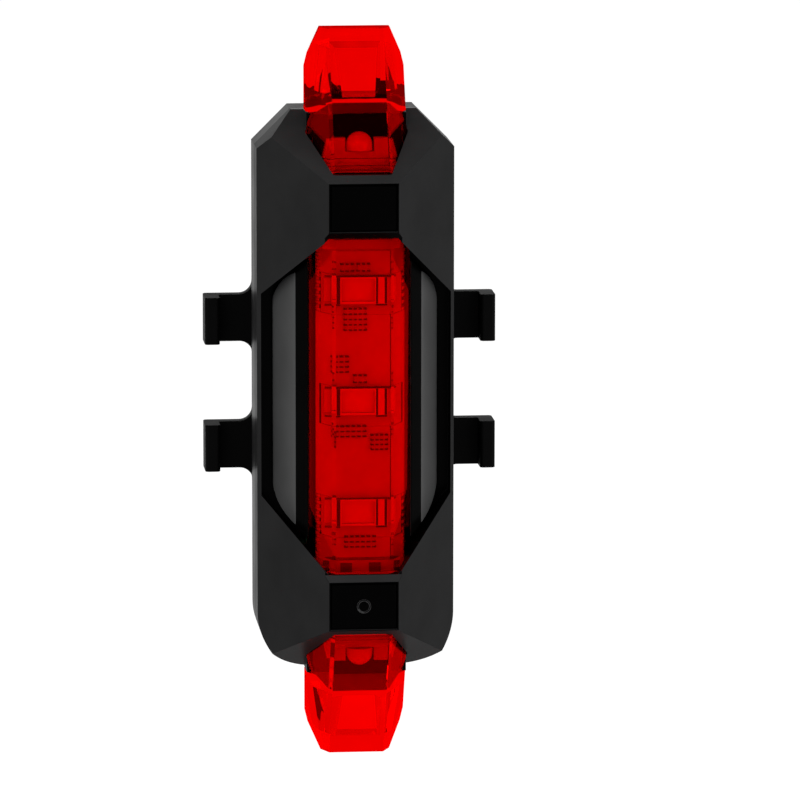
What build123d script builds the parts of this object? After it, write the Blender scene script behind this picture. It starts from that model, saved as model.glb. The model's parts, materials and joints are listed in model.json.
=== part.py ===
from build123d import *

import os

# Bicycle tail light, in millimetres. X runs to the right as the light is seen from behind
# the bicycle, Z runs up, and Y runs forward to the seat post. The origin is the middle of
# the line where the seat post touches the saddle. Depths are counted from the front face
# of the two bridges towards the seat post.

# Body
body_width = 20.7
body_height = 59.3
body_depth = 18.4
wall = 1.4
back_wall = 1.2
top_corner = 3.75
bottom_corner_radius = 6.2
back_chamfer = 0.7
rear_shell_depth = 4.8
side_wall_run = 3.6
end_wall_run = 1.0
fit_gap = 0.1
seat_gap = 0.04

# Bridges across the lens
bridge_from_end = 8.8
bridge_flat_width = 7.2
bridge_flat_height = 5.15
bridge_floor_depth = 2.3
bridge_inner_bevel = 0.65
bridge_outer_bevel = 0.68
panel_margin = 0.2
panel_thickness = 0.8
panel_bevel = 0.12

# Side recesses with their bars
recess_rail = 0.4
recess_corner_setback = 6.925
recess_behind = 1.6
recess_floor = 1.2
bar_groove_width = 1.3
bar_slope_width = 2.0
bar_ridge_drop = 1.2
bar_foot_height = 1.2
bar_end_gap = 2.825
bar_tip_drop = 1.4
bar_round_length = 3.8
bar_round_bulge = 0.5

# Lens arch
lens_nose_reach = 8.75
lens_flat_width = 5.7
lens_width = 10.5
lens_bevel_depth = 4.7
lens_skirt_depth = 10.3
lens_wall = 1.3
lens_front_depth = 0.6
lens_bend_past_bridge = 1.75
lens_back_depth = 9.0
nose_front_depth = 9.3
nose_back_setback = 1.2
nose_tip_width = 7.3
nose_corner_height = 3.5
nose_hollow_length = 10.1
nose_core_wall = 0.6
nose_core_tip_wall = 2.2
nose_core_floor_width = 3.4
nose_core_mouth_width = 5.4
lens_rib_pitch = 0.72
lens_rib_width = 0.36
lens_rib_depth = 0.16
lens_rib_length = 1.4
window_rib_count = 10
window_rib_first_z = 9.8
nose_rib_count = 3
nose_rib_start = 1.2
window_relief = 0.2
window_relief_width = 8.0
window_relief_rise = 0.7

# Power button and its switch
button_travel = 0.45
button_stem_radius = 0.8
button_stem_depth = 3.7
button_stem_room = 0.4
button_ring_radius = 0.75
button_ring_width = 0.22
switch_width = 4.6
switch_height = 4.6
switch_plunger_radius = 0.75
switch_tab_width = 1.2
switch_tab_length = 1.5
switch_tab_thickness = 0.3
switch_tab_spacing = 3.0

# Main board and its lights
board_width = 8.5
board_side_gap = 0.1
board_past_bend = 4.7
board_front_depth = 5.4
board_thickness = 1.0
led_pitch = 11.7
led_width = 5.7
led_height = 2.8
led_thickness = 0.9
led_cup_width = 3.4
led_cup_height = 2.3
led_cup_offset = 0.24
led_cup_depth = 0.35
led_pad_width = 0.7
led_pad_height = 2.4
led_pad_thickness = 0.15
end_led_radius = 1.4
end_led_barrel = 0.5
end_led_reach = 0.6
end_led_sink = 0.7
end_led_foot_length = 1.2
end_led_foot_depth = 0.75

# Small parts soldered between the lights
small_part_gap = 0.5
small_part_thickness = 0.4
driver_width = 2.2
driver_height = 2.4
driver_offset = 0.5
resistor_width = 1.35
resistor_height = 1.8
resistor_offset = 1.95
resistor_gap = 1.6
diode_width = 1.6
diode_height = 1.7
diode_offset = 2.0
diode_gap = 2.1
array_width = 3.1
array_height = 1.25
array_offset = 1.0
array_gap = 1.15
capacitor_width = 1.2
capacitor_height = 0.9
capacitor_spacing = 1.7
control_chip_size = 3.9
control_chip_thickness = 1.0
control_chip_gap = 1.05

# Battery and charging
cell_thickness = 6.0
cell_side_gap = 0.35
cell_end_gap = 0.6
cell_top_gap = 4.9
cell_corner_radius = 1.8
foam_rear_thickness = 1.6
foam_width = 6.8
foam_length = 20.0
lead_radius = 0.4
lead_bend_radius = 1.4
lead_half_spacing = 1.8
lead_rise = 1.9
lead_start_setback = 2.0
charge_board_side_gap = 0.25
charge_board_height = 12.0
charge_board_rise = 1.2
charge_board_thickness = 0.8
charge_chip_size = 2.6
charge_chip_thickness = 0.9
charge_wire_setback = 1.6

# Micro-USB socket and its rubber cover
usb_from_bottom = 7.85
usb_length = 5.1
usb_outer_width = 7.5
usb_outer_height = 2.5
usb_skin = 0.3
usb_corner_cut = 0.7
usb_tongue_width = 3.9
usb_tongue_height = 0.65
usb_tongue_setback = 0.9
usb_slot_gap = 0.2
cover_width = 10.6
cover_thickness = 1.05
cover_corner_radius = 1.0
cover_hinge_drop = 3.5
cover_rise = 4.2
cover_gap = 0.15
cover_lead_in = 0.6
cover_plug_width = 6.2
cover_plug_height = 1.1
cover_plug_length = 0.9
cover_pull_width = 3.2
cover_pull_height = 0.7
cover_pull_thickness = 0.5
cover_recess_floor = 1.2

# Screws
screw_radius = 0.8
screw_head_radius = 1.55
screw_head_height = 0.9
screw_slot_width = 0.45
screw_slot_length = 2.0
screw_slot_depth = 0.4
boss_radius = 1.9
boss_gap = 0.15
boss_tip_wall = 0.3
housing_screw_from_end = 5.65
housing_screw_length = 7.6
housing_screw_recess = 0.2
bracket_screw_inset = 2.9
bracket_screw_length = 3.2

# Strap bracket and saddle
bracket_side_step = 0.15
bracket_shoulder = 0.3
bracket_thickness = 1.5
bracket_corner_radius = 1.5
hook_spacing = 13.6
hook_height = 5.0
hook_root_radius = 1.4
strap_gap = 3.45
lip_thickness = 1.6
lip_reach = 2.4
lip_edge_radius = 0.4
post_radius = 14.0
saddle_side_step = 0.5
saddle_end_step = 0.3
saddle_floor = 1.2
saddle_rise = 3.3
saddle_corner_radius = 2.0
saddle_groove_width = 0.9
saddle_groove_depth = 0.5
saddle_groove_pitch = 2.4
saddle_groove_count = 9
peg_radius = 1.2
peg_spacing = 13.0

# Seal between the two housings
seal_width = 0.5
seal_height = 0.5

# Depths worked out from the sizes above
panel_y = -(saddle_floor + bracket_thickness + body_depth)
split_depth = body_depth - rear_shell_depth
side_shoulder_depth = split_depth - side_wall_run
end_shoulder_depth = split_depth - end_wall_run
recess_depth = split_depth - recess_behind
nose_back_depth = split_depth - nose_back_setback
inner_back_depth = body_depth - back_wall
board_back_depth = board_front_depth + board_thickness
end_led_depth = board_front_depth + end_led_sink
cell_back_depth = inner_back_depth - foam_rear_thickness
cell_front_depth = cell_back_depth - cell_thickness
switch_front_depth = button_stem_depth + button_travel
cover_recess_depth = cover_thickness + cover_gap
usb_mouth_depth = body_depth - cover_recess_depth - fit_gap
charge_board_back_depth = usb_mouth_depth - usb_length
charge_board_front_depth = charge_board_back_depth - charge_board_thickness

# Widths and heights worked out from the sizes above
bridge_z = body_height / 2 - bridge_from_end
panel_width = bridge_flat_width - 2 * panel_margin
panel_height = bridge_flat_height - 2 * panel_margin
lens_tip_z = body_height / 2 + lens_nose_reach
lens_bend_z = bridge_z + lens_bend_past_bridge
lens_lean = (lens_width - lens_flat_width) / 2 / lens_bevel_depth
board_half_length = lens_bend_z + board_past_bend
end_led_start_z = board_half_length + end_led_reach - end_led_radius - end_led_barrel
channel_width = lens_width + 2 * fit_gap
recess_half_width = body_width / 2 - recess_rail
recess_end_z = bridge_z - bridge_flat_height / 2 - bridge_inner_bevel
bar_outer_x = recess_half_width - bar_groove_width
bar_ridge_x = bar_outer_x - bar_slope_width
bar_end_z = recess_end_z - bar_end_gap
bar_tip_z = bar_end_z - bar_tip_drop
bar_straight_z = bar_tip_z - bar_round_length
usb_z = usb_from_bottom - body_height / 2
charge_board_width = channel_width - 2 * charge_board_side_gap
charge_board_z = usb_z + charge_board_rise
charge_board_top = charge_board_z + charge_board_height / 2
cell_width = channel_width - 2 * cell_side_gap
cell_top = board_half_length - cell_top_gap
cell_bottom = charge_board_top + cell_end_gap
cell_z = (cell_top + cell_bottom) / 2
control_chip_z = cell_z + (foam_length + control_chip_size) / 2 + control_chip_gap
housing_screw_x = channel_width / 2 + boss_gap + boss_radius
housing_screw_z = body_height / 2 - housing_screw_from_end
bracket_width = body_width - 2 * bracket_side_step
hook_top_z = (hook_spacing + hook_height) / 2
bracket_half_height = hook_top_z + hook_root_radius + bracket_corner_radius + bracket_shoulder
bracket_screw_x = cell_width / 2 + seat_gap + boss_radius
bracket_screw_z = bracket_half_height - bracket_screw_inset
hook_span = body_width + 2 * (strap_gap + lip_thickness)
saddle_width = bracket_width - 2 * saddle_side_step
saddle_height = 2 * (bracket_half_height - saddle_end_step)


def depth(value):
    """Y of a plane that lies this far behind the bridges."""
    return panel_y + value


def block(x_range, depth_range, z_range):
    """Block between two values of X, of depth and of Z."""
    centre = [sum(pair) / 2 for pair in (x_range, depth_range, z_range)]
    size = [pair[1] - pair[0] for pair in (x_range, depth_range, z_range)]
    return Pos(centre[0], depth(centre[1]), centre[2]) * Box(*size)


def centred_block(width, height, depth_range, x=0.0, z=0.0):
    """Block of a width and height about a point of the front view."""
    return block((x - width / 2, x + width / 2), depth_range, (z - height / 2, z + height / 2))


def front_prism(sketch, near, far):
    """Outline of the front view, given depth from near to far."""
    plane = Plane(origin=(0, depth(far), 0), x_dir=(1, 0, 0), z_dir=(0, -1, 0))
    return extrude(plane * sketch, far - near)


def side_prism(points, half_width):
    """Side profile of (depth, z) points, carried across the width."""
    corners = [(-half_width, depth(d), z) for d, z in points]
    face = make_face(Polyline(*corners, close=True))
    return extrude(face, amount=2 * half_width, dir=(1, 0, 0))


def level_prism(points, half_length):
    """Level section of (x, depth) points, carried along Z."""
    corners = [(x, depth(d), -half_length) for x, d in points]
    face = make_face(Polyline(*corners, close=True))
    return extrude(face, amount=2 * half_length, dir=(0, 0, 1))


def pin(radius, near, far, x=0.0, z=0.0):
    """Round pin along the depth."""
    return front_prism(Pos(x, z) * Circle(radius), near, far)


def four_places(x, z):
    """The four corner places of a rectangle about the middle."""
    return [(side * x, end * z) for end in (1, -1) for side in (-1, 1)]


def body_outline(inset=0.0):
    """Front outline: cut corners above and round ones below."""
    outline = Rectangle(body_width, body_height)
    outline = chamfer(outline.vertices().group_by(Axis.Y)[-1], top_corner)
    outline = fillet(outline.vertices().group_by(Axis.Y)[0], bottom_corner_radius)
    return offset(outline, -inset) if inset else outline


def faceted_front(inset, back):
    """Front of the body with its long facets, inside the outer skin by inset."""
    half_width = body_width / 2
    half_height = body_height / 2
    flat_x = bridge_flat_width / 2
    flat_z = bridge_z + bridge_flat_height / 2
    level = [(half_width, back + inset), (half_width, side_shoulder_depth), (flat_x, 0)]
    level += [(-x, d) for x, d in reversed(level)]
    side = [(back + inset, half_height), (end_shoulder_depth, half_height), (0, flat_z)]
    side += [(d, -z) for d, z in reversed(side)]
    level_face = offset(make_face(Polyline(*level, close=True)), -inset) if inset else None
    side_face = offset(make_face(Polyline(*side, close=True)), -inset) if inset else None
    if inset:
        long_part = extrude(Pos(0, panel_y, -half_height) * level_face, body_height)
        turned = Plane(origin=(-half_width, panel_y, 0), x_dir=(0, 1, 0), z_dir=(1, 0, 0))
        cross_part = extrude(turned * side_face, body_width)
    else:
        long_part = level_prism(level, half_height)
        cross_part = side_prism(side, half_width)
    return long_part & cross_part & front_prism(body_outline(inset), 0, back + wall)


def recess_outline(grow=0.0):
    """Long eight-sided outline between the bridges that holds the side bars."""
    end_x = bridge_flat_width / 2
    corner_z = recess_end_z - recess_corner_setback
    right = [(end_x, recess_end_z), (recess_half_width, corner_z)]
    right += [(x, -z) for x, z in reversed(right)]
    outline = make_face(Polyline(*right, *[(-x, z) for x, z in reversed(right)], close=True))
    return offset(outline, grow) if grow else outline


def nose_line():
    """Start and direction of the upper slanted leg of the lens, in depth and z."""
    bend = Vector(lens_front_depth, lens_bend_z)
    nose = Vector(nose_front_depth, lens_tip_z)
    return bend, nose - bend


def arch_path(leg_length):
    """Outer line of the lens arch as (depth, z) points, with slanted legs of this length."""
    bend, leg = nose_line()
    upper = [bend + leg.normalized() * leg_length, bend]
    return upper + [Vector(p.X, -p.Y) for p in reversed(upper)]


def nose_outline(grow=0.0):
    """Front outline of the lens, with the cut corners of its two noses."""
    tip = (nose_tip_width / 2, lens_tip_z)
    right = [tip, (lens_width / 2, lens_tip_z - nose_corner_height)]
    right += [(x, -z) for x, z in reversed(right)]
    outline = make_face(Polyline(*right, *[(-x, z) for x, z in reversed(right)], close=True))
    return offset(outline, grow, kind=Kind.INTERSECTION) if grow else outline


def inset_path(path, inset):
    """The same open path moved inward, with its corners mitred."""
    sides = [(b - a).normalized() for a, b in zip(path, path[1:])]
    normals = [Vector(-side.Y, side.X) for side in sides]
    moved = []
    for index, point in enumerate(path):
        before = normals[max(index - 1, 0)]
        after = normals[min(index, len(normals) - 1)]
        mitre = (before + after).normalized()
        moved.append(point + mitre * (inset / mitre.dot(after)))
    return moved


def along_arch(section, path):
    """Solid whose mirrored section of (half width, inset) points follows the arch."""
    rails = [inset_path(path, inset) for _, inset in section]
    faces = []
    for index in range(len(path)):
        right = [(w, depth(r[index].X), r[index].Y) for (w, _), r in zip(section, rails)]
        left = [(-x, y, z) for x, y, z in reversed(right)]
        faces.append(make_face(Polyline(*right, *left, close=True)))
    return loft(faces, ruled=True)


def lens_envelope(grow=0.0):
    """Outer shape of the lens arch, filled in."""
    section = [
        (lens_flat_width / 2 + grow, -grow),
        (lens_width / 2 + grow, lens_bevel_depth - grow),
        (lens_width / 2 + grow, lens_skirt_depth + grow),
    ]
    leg_length = nose_line()[1].length + nose_back_depth - nose_front_depth
    arch = along_arch(section, arch_path(leg_length))
    arch = arch & front_prism(nose_outline(grow), -grow, nose_back_depth + grow)
    clear_z = body_height / 2 + fit_gap - grow
    behind = (lens_back_depth + grow, 2 * body_depth)
    return arch - centred_block(2 * lens_width, 2 * clear_z, behind)


def lens_hollow(grow=0.0):
    """Hollow behind the flat and the bevels of the lens, which ends at the two solid noses."""
    flat_x = lens_flat_width / 2 + grow
    side_x = board_width / 2 + board_side_gap + grow
    far = lens_skirt_depth + 2 * fit_gap
    section = [(flat_x, lens_wall - grow), (side_x, hollow_knee() - grow), (side_x, far)]
    arch = along_arch(section, arch_path(nose_hollow_length))
    outline = nose_outline(side_x - lens_width / 2)
    return arch & front_prism(outline, 0, nose_back_depth - lens_wall + grow)


def hollow_knee():
    """Inset at which the slanted sides of the hollow turn straight back."""
    return lens_wall + (board_width / 2 + board_side_gap - lens_flat_width / 2) / lens_lean


def board_place(inset):
    """Height at which the front of the board lies this far inside the slanted leg of the lens."""
    bend, leg = nose_line()
    along = leg.normalized()
    return bend.Y + ((board_front_depth - bend.X) * along.Y - inset) / along.X


def board_inset(z):
    """How far inside the slanted leg of the lens the front of the board lies at a height."""
    bend, leg = nose_line()
    along = leg.normalized()
    return (board_front_depth - bend.X) * along.Y - (z - bend.Y) * along.X


def bridge_places():
    """Centre height of each bridge, with the sign of its side."""
    return [(bridge_z, 1), (-bridge_z, -1)]


def bridge_beam(end, gap=0.0, front=0.0):
    """Beam of the bezel that crosses in front of the lens, which seats against its back."""
    outer_z = bridge_z + bridge_flat_height / 2 + bridge_outer_bevel + gap
    inner_z = recess_end_z - gap
    profile = [
        (front, inner_z),
        (front, outer_z),
        (bridge_floor_depth, outer_z),
        (bridge_floor_depth, inner_z),
    ]
    return side_prism([(d, end * z) for d, z in profile], lens_width / 2 + wall)


def lens_grooves():
    """Fine level grooves inside the lens, and a shallow relief in front of each light."""
    far = board_front_depth - fit_gap
    ribbed = lens_hollow(lens_rib_depth)
    relieved = lens_hollow(window_relief)
    cuts = []
    for end in (-1, 1):
        for index in range(window_rib_count):
            z = end * (window_rib_first_z + index * lens_rib_pitch)
            depths = (far - lens_rib_length, far)
            cuts.append(ribbed & centred_block(lens_width, lens_rib_width, depths, z=z))
        for index in range(nose_rib_count):
            z = end * (lens_bend_z + nose_rib_start + index * lens_rib_pitch)
            cuts.append(ribbed & centred_block(lens_width, lens_rib_width, (0, far), z=z))
    relief_height = led_height + 2 * window_relief_rise
    for z in (-led_pitch, 0, led_pitch):
        cuts.append(relieved & centred_block(window_relief_width, relief_height, (0, far), z=z))
    return cuts


def nose_core(end):
    """Pocket in the back of a nose of the lens, which keeps the moulding's walls even."""
    bend, leg = nose_line()
    along = leg.normalized()
    inner = bend + along * (nose_hollow_length + nose_core_wall)
    inner = inner + Vector(along.Y, -along.X) * lens_wall
    tip_z = lens_tip_z - nose_core_tip_wall
    tip_depth = inner.X + (tip_z - inner.Y) * along.X / along.Y
    profile = [(inner.X, inner.Y), (tip_depth, tip_z), (nose_back_depth, tip_z), (nose_back_depth, inner.Y)]
    half_floor = nose_core_floor_width / 2
    half_mouth = nose_core_mouth_width / 2
    section = [(half_floor, inner.X), (half_mouth, nose_back_depth)]
    section += [(-x, d) for x, d in reversed(section)]
    pocket = side_prism([(d, end * z) for d, z in profile], lens_width)
    return pocket & level_prism(section, lens_tip_z)


def lens():
    """Arched red lens, stepped back under both bridges."""
    envelope = lens_envelope()
    shell = envelope - lens_hollow()
    inner = recess_end_z - fit_gap - lens_wall
    outer = bridge_z + bridge_flat_height / 2 + lens_wall
    for centre, end in bridge_places():
        span = sorted((end * inner, end * outer))
        fill = block((-lens_width, lens_width), (0, bridge_floor_depth + lens_wall), span)
        shell = shell + (envelope & fill)
    for centre, end in bridge_places():
        shell = shell - bridge_beam(end, fit_gap, -wall)
    hole = pin(button_stem_radius + button_stem_room, 0, board_front_depth, z=-bridge_z)
    return shell - hole - lens_grooves() - [nose_core(end) for end in (-1, 1)]


def front_bezel():
    """Faceted front shell with its two bridges."""
    shell = faceted_front(0, split_depth)
    tub = front_prism(recess_outline(recess_floor), 0, recess_depth + recess_floor)
    hollow = faceted_front(wall, split_depth)
    cavity = hollow - tub
    behind_bridges = centred_block(body_width, body_height, (bridge_floor_depth, body_depth))
    shell = shell - (cavity & behind_bridges)
    recess = front_prism(recess_outline(), -wall, recess_depth)
    middle = centred_block(channel_width, body_height, (board_front_depth, body_depth)) & hollow
    channel = lens_envelope(fit_gap)
    for centre, end in bridge_places():
        channel = channel - bridge_beam(end)
    shell = shell - recess - middle - channel
    shell = shell + bezel_bosses() + [nose_ledge(end) for end in (-1, 1)]
    for x, z in four_places(housing_screw_x, housing_screw_z):
        shell = shell - pin(screw_radius, screw_tip_depth() - fit_gap, split_depth, x, z)
    for centre, end in bridge_places():
        shell = shell - inner_bevel(end)
        pocket = panel_thickness
        if end < 0:
            pocket = panel_thickness + button_travel + fit_gap
        size = (panel_width + 2 * fit_gap, panel_height + 2 * fit_gap)
        shell = shell - centred_block(*size, (-wall, pocket), z=centre)
    return shell - pin(button_stem_radius + fit_gap, 0, bridge_floor_depth + fit_gap, z=-bridge_z)


def nose_ledge(end):
    """Ledge of the end wall behind the lens, which its nose rests on."""
    span = sorted((end * (body_height / 2 - 2 * wall), end * body_height / 2))
    ledge = block((-lens_width / 2, lens_width / 2), (lens_back_depth + fit_gap, split_depth), span)
    return ledge - faceted_front(wall, split_depth)


def inner_bevel(end):
    """Wedge that bevels the edge of a bridge next to the main window."""
    edge = bridge_z - bridge_flat_height / 2
    size = bridge_inner_bevel
    profile = [(-size, edge + size), (-size, edge - 2 * size), (size, edge - 2 * size), (size, edge - size)]
    return side_prism([(d, end * z) for d, z in profile], lens_width)


def screw_tip_depth():
    """Depth of the tips of the housing screws."""
    return body_depth - housing_screw_recess - screw_head_height - housing_screw_length


def bezel_bosses():
    """Bosses inside the bezel that the housing screws bite into."""
    near = screw_tip_depth() - wall
    bosses = Part()
    for x, z in four_places(housing_screw_x, housing_screw_z):
        bosses = bosses + pin(boss_radius, near, split_depth, x, z)
    return (bosses & faceted_front(0, split_depth)) - lens_envelope(fit_gap)


def side_bar(side):
    """Glossy bar beside the lens, with a ridge and curved ends."""
    inner_x = channel_width / 2
    front = lens_front_depth + lens_bevel_depth + fit_gap
    section = [
        (inner_x, recess_depth),
        (inner_x, front),
        (bar_ridge_x, front + bar_ridge_drop),
        (bar_outer_x, recess_depth - bar_foot_height),
        (bar_outer_x, recess_depth),
    ]
    long_bar = level_prism([(side * x, d) for x, d in section], bar_end_z)
    ridge_end = (bar_ridge_x, bar_tip_z)
    straight_end = (bar_outer_x, bar_straight_z)
    ridge_foot = (bar_ridge_x, -bar_tip_z)
    straight_foot = (bar_outer_x, -bar_straight_z)
    outline = Polyline((0, 0), (0, -bar_end_z), (inner_x, -bar_end_z), ridge_foot)
    outline += SagittaArc(ridge_foot, straight_foot, -bar_round_bulge)
    outline += Line(straight_foot, straight_end)
    outline += SagittaArc(straight_end, ridge_end, -bar_round_bulge)
    outline += Polyline(ridge_end, (inner_x, bar_end_z), (0, bar_end_z), (0, 0))
    plan = make_face(outline)
    if side < 0:
        plan = mirror(plan, about=Plane.YZ)
    return long_bar & front_prism(plan, 0, recess_depth)


def bridge_plate():
    """Plain black plate set into the upper bridge."""
    plate = centred_block(panel_width, panel_height, (0, panel_thickness), z=bridge_z)
    return chamfer(plate.faces().sort_by(Axis.Y)[0].edges(), panel_bevel)


def power_button():
    """Push plate of the lower bridge, with a ring to find it by touch and its stem."""
    plate = centred_block(panel_width, panel_height, (0, panel_thickness), z=-bridge_z)
    plate = chamfer(plate.faces().sort_by(Axis.Y)[0].edges(), panel_bevel)
    stem = pin(button_stem_radius, panel_thickness, button_stem_depth, z=-bridge_z)
    ring = pin(button_ring_radius, -wall, panel_bevel, z=-bridge_z)
    ring = ring - pin(button_ring_radius - button_ring_width, -wall, wall, z=-bridge_z)
    return plate + stem - ring


def switch_base():
    """Body of the push switch on the board, with two soldered tabs."""
    depths = (switch_front_depth, board_front_depth)
    base = centred_block(switch_width, switch_height, depths, z=-bridge_z)
    tab_depths = (board_front_depth - switch_tab_thickness, board_front_depth)
    tab_z = -bridge_z + (switch_height + switch_tab_length) / 2
    for side in (-1, 1):
        x = side * switch_tab_spacing / 2
        base = base + centred_block(switch_tab_width, switch_tab_length, tab_depths, x, tab_z)
    bore = pin(switch_plunger_radius + seat_gap, 0, board_front_depth - seat_gap, z=-bridge_z)
    return base - bore


def switch_plunger():
    """Moving stud of the push switch."""
    end = board_front_depth - button_travel - 2 * seat_gap
    return pin(switch_plunger_radius, button_stem_depth, end, z=-bridge_z)


def main_board():
    """Board that carries the lights, tapered at both ends, with a notch for each end light."""
    end_x = lens_flat_width / 2 + (board_inset(board_half_length) - lens_wall) * lens_lean
    right = [(end_x - board_side_gap, board_half_length), (board_width / 2, board_place(hollow_knee()))]
    right += [(x, -z) for x, z in reversed(right)]
    outline = make_face(Polyline(*right, *[(-x, z) for x, z in reversed(right)], close=True))
    board = front_prism(outline, board_front_depth, board_back_depth)
    notch_start = end_led_start_z - board_side_gap
    half = end_led_radius + board_side_gap
    for end in (-1, 1):
        span = sorted((end * notch_start, end * (board_half_length + wall)))
        board = board - block((-half, half), (board_front_depth - wall, board_back_depth + wall), span)
    return board


def window_led(z):
    """Long light behind the window, with its light cup set to one side and soldered ends."""
    front = board_front_depth - led_thickness
    led = centred_block(led_width, led_height, (front, board_front_depth), z=z)
    cup = (front - led_cup_depth, front + led_cup_depth)
    led = led - centred_block(led_cup_width, led_cup_height, cup, -led_cup_offset, z)
    pad_depths = (board_front_depth - led_pad_thickness, board_front_depth)
    for side in (-1, 1):
        x = side * (led_width + led_pad_width) / 2
        led = led + centred_block(led_pad_width, led_pad_height, pad_depths, x, z)
    return led


def end_led(end):
    """Domed light in the notch at an end of the board, shining into the nose of the lens."""
    start = end_led_start_z
    plane = Plane(origin=(0, depth(end_led_depth), end * start), z_dir=(0, 0, end))
    barrel = extrude(plane * Circle(end_led_radius), end_led_barrel)
    half_sphere = Sphere(end_led_radius, *sorted((0, 90 * end)), align=None)
    dome = Pos(0, depth(end_led_depth), end * (start + end_led_barrel)) * half_sphere
    foot_range = sorted((end * (start + seat_gap), end * (start - end_led_foot_length)))
    foot_back = board_back_depth + end_led_foot_depth
    foot = block((-end_led_radius, end_led_radius), (board_back_depth, foot_back), foot_range)
    return barrel + dome + foot


def small_part(width, height, x, edge, side):
    """Small flat part on the board, above (1) or below (-1) a height that its edge keeps to."""
    depths = (board_front_depth - small_part_thickness, board_front_depth)
    return centred_block(width, height, depths, x, edge + side * height / 2)


def small_chips():
    """Small soldered parts between the lights: driver, resistors, diode and capacitors."""
    light_edge = led_height / 2
    above_upper = led_pitch + light_edge + small_part_gap + capacitor_height
    under_upper = led_pitch - light_edge - small_part_gap
    under_lower = -led_pitch - light_edge - array_gap
    parts = [
        small_part(driver_width, driver_height, -driver_offset, under_upper, -1),
        small_part(resistor_width, resistor_height, -resistor_offset, light_edge + resistor_gap, 1),
        small_part(capacitor_width, capacitor_height, 0, light_edge + small_part_gap, 1),
        small_part(array_width, array_height, -array_offset, -light_edge - array_gap, -1),
        small_part(diode_width, diode_height, diode_offset, -light_edge - diode_gap, -1),
        small_part(array_width, array_height, 0, under_lower, -1),
    ]
    for side in (-1, 1):
        x = side * capacitor_spacing / 2 - driver_offset
        parts.append(small_part(capacitor_width, capacitor_height, x, above_upper, -1))
    return parts


def control_chip():
    """Chip on the back of the board that steps through the light modes."""
    back = board_back_depth + control_chip_thickness
    return centred_block(control_chip_size, control_chip_size, (board_back_depth, back), z=control_chip_z)


def battery_cell():
    """Flat pouch cell behind the board."""
    cell = centred_block(cell_width, cell_top - cell_bottom, (cell_front_depth, cell_back_depth), z=cell_z)
    return fillet(cell.edges().filter_by(Axis.Z), cell_corner_radius)


def foam_pad(near, far):
    """Foam block that keeps the cell from rattling."""
    return centred_block(foam_width, foam_length, (near, far), z=cell_z)


def battery_lead(side):
    """Wire from the top of the cell to the back of the board."""
    x = side * lead_half_spacing
    start_depth = cell_front_depth + lead_start_setback
    bend_z = cell_top + lead_rise
    route = FilletPolyline(
        (x, depth(start_depth), cell_top),
        (x, depth(start_depth), bend_z),
        (x, depth(board_back_depth), bend_z),
        radius=lead_bend_radius,
    )
    start = Plane(origin=(x, depth(start_depth), cell_top), z_dir=(0, 0, 1))
    return sweep(start * Circle(lead_radius), path=route)


def charge_board():
    """Small board behind the main one that carries the charging socket."""
    depths = (charge_board_front_depth, charge_board_back_depth)
    return centred_block(charge_board_width, charge_board_height, depths, z=charge_board_z)


def charge_chip():
    """Charging chip in front of the small board."""
    near = charge_board_front_depth - charge_chip_thickness
    return centred_block(charge_chip_size, charge_chip_size, (near, charge_board_front_depth), z=usb_z)


def charge_wires():
    """Two short wires that join the boards."""
    z = charge_board_top - charge_wire_setback
    ends = (board_back_depth, charge_board_front_depth)
    return [pin(lead_radius, *ends, side * lead_half_spacing, z) for side in (-1, 1)]


def usb_outline(width, height):
    """Outline of the socket, with its two lower corners cut."""
    outline = Rectangle(width, height)
    outline = chamfer(outline.vertices().group_by(Axis.Y)[0], usb_corner_cut)
    return Pos(0, usb_z) * outline


def usb_shell():
    """Metal shell of the charging socket, closed at its foot."""
    foot = charge_board_back_depth
    outline = usb_outline(usb_outer_width, usb_outer_height)
    inner = usb_outline(usb_outer_width - 2 * usb_skin, usb_outer_height - 2 * usb_skin)
    shell = front_prism(outline, foot, usb_mouth_depth)
    return shell - front_prism(inner, foot + usb_skin, usb_mouth_depth + wall)


def usb_tongue():
    """Contact tongue inside the socket."""
    depths = (charge_board_back_depth + usb_skin, usb_mouth_depth - usb_tongue_setback)
    return centred_block(usb_tongue_width, usb_tongue_height, depths, z=usb_z)


def cover_hinge_z():
    """Height of the hinge line of the socket cover."""
    return usb_z - cover_hinge_drop


def cover_mid_depth():
    """Depth of the middle of the closed socket cover."""
    return body_depth - cover_thickness / 2


def usb_cover():
    """Rubber cover of the socket, with its plug, finger pull and hinge knuckle."""
    near = body_depth - cover_thickness
    hinge_z = cover_hinge_z()
    top = usb_z + cover_rise
    half = cover_width / 2
    flap = block((-half, half), (near, body_depth), (hinge_z, top))
    flap = fillet(flap.edges().filter_by(Axis.Y).group_by(Axis.Z)[-1], cover_corner_radius)
    plane = Plane(origin=(-half, depth(cover_mid_depth()), hinge_z), z_dir=(1, 0, 0))
    knuckle = extrude(plane * Circle(cover_thickness / 2), cover_width)
    plug = centred_block(cover_plug_width, cover_plug_height, (near - cover_plug_length, near), z=usb_z)
    pull_z = top - cover_pull_height
    pull_depths = (body_depth, body_depth + cover_pull_thickness)
    pull = centred_block(cover_pull_width, cover_pull_height, pull_depths, z=pull_z)
    return flap + knuckle + plug + pull


def cover_recess():
    """Space in the back that the socket cover lies in."""
    half = cover_width / 2 + cover_gap
    low = cover_hinge_z() - cover_thickness / 2 - cover_gap
    high = usb_z + cover_rise + cover_gap
    recess = block((-half, half), (body_depth - cover_recess_depth, body_depth + wall), (low, high))
    near = body_depth - cover_lead_in
    far = body_depth + cover_lead_in
    lead_in = [(near, low), (far, low), (far, low - (far - near))]
    return recess + side_prism(lead_in, half)


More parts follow.
